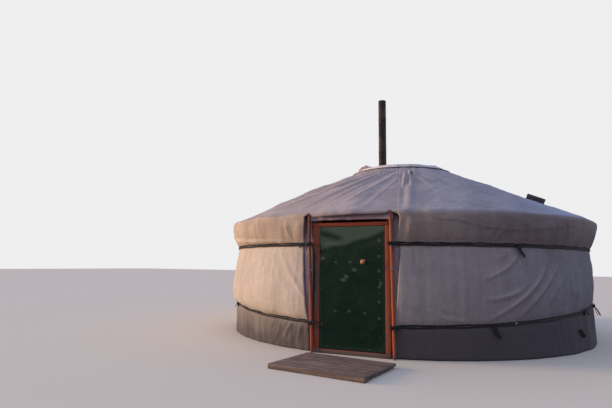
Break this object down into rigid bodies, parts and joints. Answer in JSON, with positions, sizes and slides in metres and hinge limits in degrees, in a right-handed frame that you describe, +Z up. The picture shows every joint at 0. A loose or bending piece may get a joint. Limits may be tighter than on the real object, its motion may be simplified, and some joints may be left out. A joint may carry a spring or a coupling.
{
  "type": "yurt",
  "caption": "Round felt and canvas tent house with a lattice wall, cone roof on poles, crown with a stove pipe, hinged low door and a slatted step.",
  "frame": {"origin": "middle of the floor, on the ground, on the upright axis through the crown", "axes": "+Z up, -Y out through the door, +X to the right for someone who looks at the door from outside"},
  "size_m": [5.7313, 6.8236, 3.8303],
  "materials": {
    "block_wood": "weathered wood",
    "cover_cloth": "matte cloth",
    "crown_paint": "worn satin paint",
    "door_boards": "bare boards",
    "door_green": "dark satin paint",
    "felt": "matte felt",
    "hinge_steel": "worn steel",
    "jamb_paint": "worn satin paint",
    "knob": "polished by hands",
    "lattice_wood": "bare wood",
    "lintel_paint": "worn satin paint",
    "pipe_steel": "sooty steel",
    "pole_paint": "worn satin paint",
    "post_paint": "worn satin paint",
    "roof_canvas": "matte weathered canvas",
    "step_wood": "weathered wood",
    "strap_webbing": "woven strap",
    "tin_sheet": "dull tin",
    "valance_cloth": "matte cloth",
    "wall_canvas": "matte weathered canvas"
  },
  "bodies": {
    "yurt": {"chimney_pipe": "pipe_steel", "crown_cover": "cover_cloth", "crown_cover_roll": "cover_cloth", "crown_post_left": "crown_paint", "crown_post_right": "crown_paint", "crown_ring": "crown_paint", "crown_spokes": "crown_paint", "door_head": "lattice_wood", "door_jamb_left": "jamb_paint", "door_jamb_right": "jamb_paint", "door_lintel": "lintel_paint", "door_post_left": "post_paint", "door_post_right": "post_paint", "door_threshold": "jamb_paint", "door_valance": "valance_cloth", "hinge_frame_side": "hinge_steel", "lattice_wall_1": "lattice_wood", "lattice_wall_2": "lattice_wood", "lattice_wall_3": "lattice_wood", "lattice_wall_4": "lattice_wood", "lattice_wall_5": "lattice_wood", "lattice_wall_6": "lattice_wood", "lower_strap": "strap_webbing", "pipe_plate": "tin_sheet", "roof_block": "block_wood", "roof_canvas_back": "roof_canvas", "roof_canvas_front": "roof_canvas", "roof_canvas_left": "roof_canvas", "roof_canvas_right": "roof_canvas", "roof_felt_back": "felt", "roof_felt_front": "felt", "roof_felt_left": "felt", "roof_felt_right": "felt", "roof_poles_front": "pole_paint", "roof_poles_left": "pole_paint", "roof_poles_right": "pole_paint", "step_bearers": "step_wood", "step_slats": "step_wood", "upper_strap": "strap_webbing", "wall_canvas_back": "wall_canvas", "wall_canvas_left": "wall_canvas", "wall_canvas_right": "wall_canvas", "wall_felt_back": "felt", "wall_felt_left": "felt", "wall_felt_right": "felt"},
    "door": {"door_leaf": "door_boards", "door_sheet": "door_green", "door_knob": "knob", "hinge_leaf_side": "hinge_steel"}
  },
  "joints": [
    {"name": "door_hinge", "type": "hinge", "parent": "yurt", "child": "door", "pos_m": [-0.4025, -2.776, 0.78], "axis": [0, 0, -1], "range_deg": [0, 95]}
  ]
}
